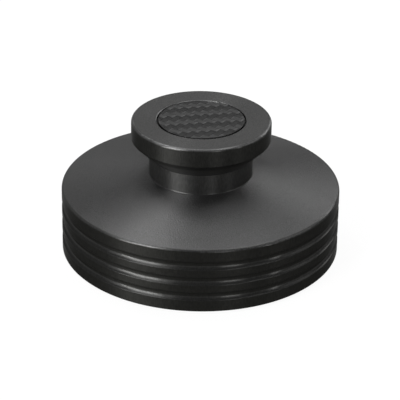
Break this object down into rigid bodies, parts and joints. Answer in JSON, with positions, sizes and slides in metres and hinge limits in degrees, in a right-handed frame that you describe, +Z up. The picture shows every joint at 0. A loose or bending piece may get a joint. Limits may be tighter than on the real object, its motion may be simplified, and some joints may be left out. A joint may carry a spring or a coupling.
{
  "type": "record weight clamp",
  "caption": "Turned metal weight for a turntable: a grooved disc with a sloping top, a neck and a wide grip flange with a woven carbon inlay; a blind bore takes the spindle.",
  "frame": {"origin": "centre of the pad's underside, on the surface that the weight rests on", "axes": "+Z up along the spindle axis, -Y towards the side that the picture shows in front"},
  "size_m": [0.08, 0.08, 0.0403],
  "materials": {
    "black_anodised_aluminium": "lathe-turned, satin black anodised",
    "woven_carbon": "lacquered twill-woven carbon laminate",
    "pad_felt": "dense black felt"
  },
  "bodies": {
    "root": {"weight_body": "black_anodised_aluminium", "carbon_inlay": "woven_carbon", "base_pad": "pad_felt"}
  },
  "joints": []
}
